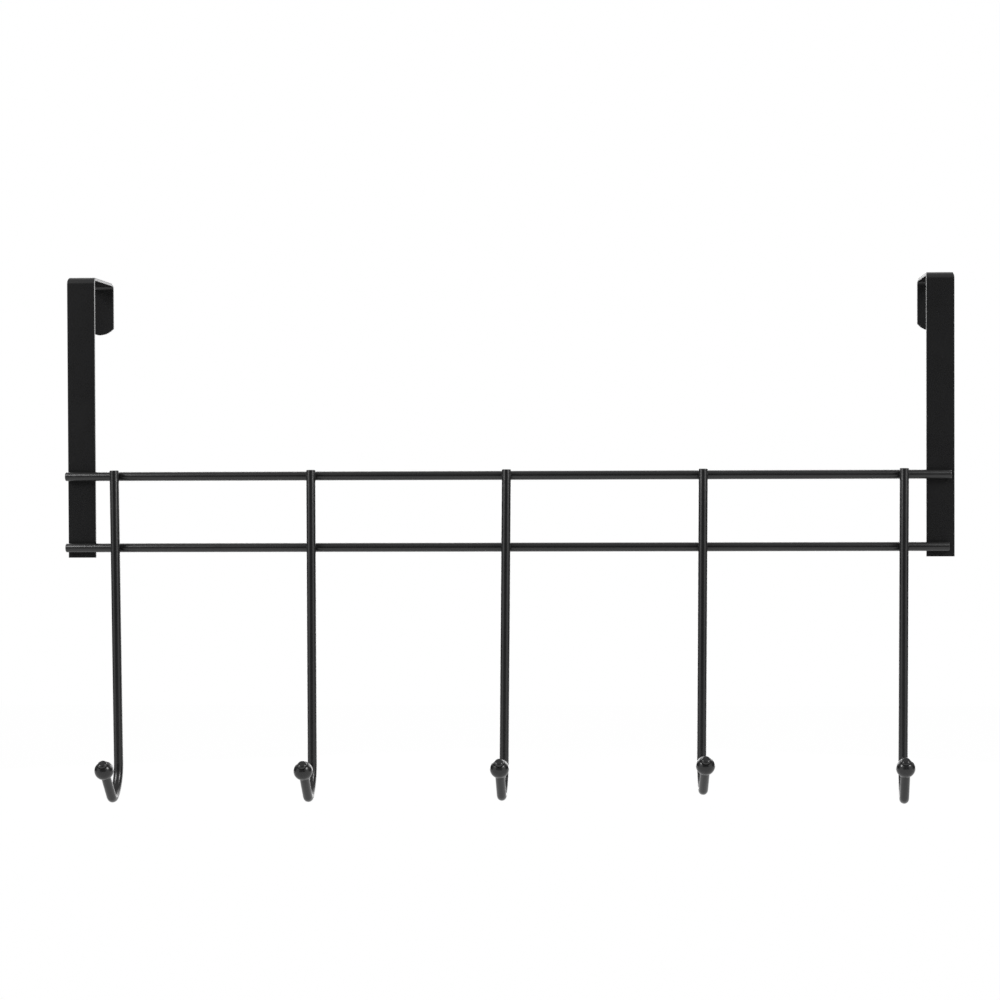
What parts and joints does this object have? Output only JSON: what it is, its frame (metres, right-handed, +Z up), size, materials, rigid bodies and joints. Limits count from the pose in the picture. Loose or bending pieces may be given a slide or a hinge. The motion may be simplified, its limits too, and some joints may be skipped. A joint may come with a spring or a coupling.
{
  "type": "over door hook",
  "caption": "Over-door rack of coated steel: two strip straps hook over a door's top edge, two round rails cross them, and J-shaped wire hooks end in small balls.",
  "frame": {"origin": "midway between the straps, on the door's top edge and front face: z is 0 at the underside of the bridges and y is 0 at the back of the front legs", "axes": "+Z up, +X along the rails to the right as seen from the room, +Y through the door towards the lips"},
  "size_m": [0.5016, 0.0877, 0.2955],
  "materials": {
    "black_coat": "satin black powder coat",
    "ball_coat": "semi-gloss black powder coat"
  },
  "bodies": {
    "root": {"left_strap": "black_coat", "right_strap": "black_coat", "upper_rail": "black_coat", "lower_rail": "black_coat", "hook_wire_1": "black_coat", "hook_ball_1": "ball_coat", "hook_wire_2": "black_coat", "hook_ball_2": "ball_coat", "hook_wire_3": "black_coat", "hook_ball_3": "ball_coat", "hook_wire_4": "black_coat", "hook_ball_4": "ball_coat", "hook_wire_5": "black_coat", "hook_ball_5": "ball_coat"}
  },
  "joints": []
}
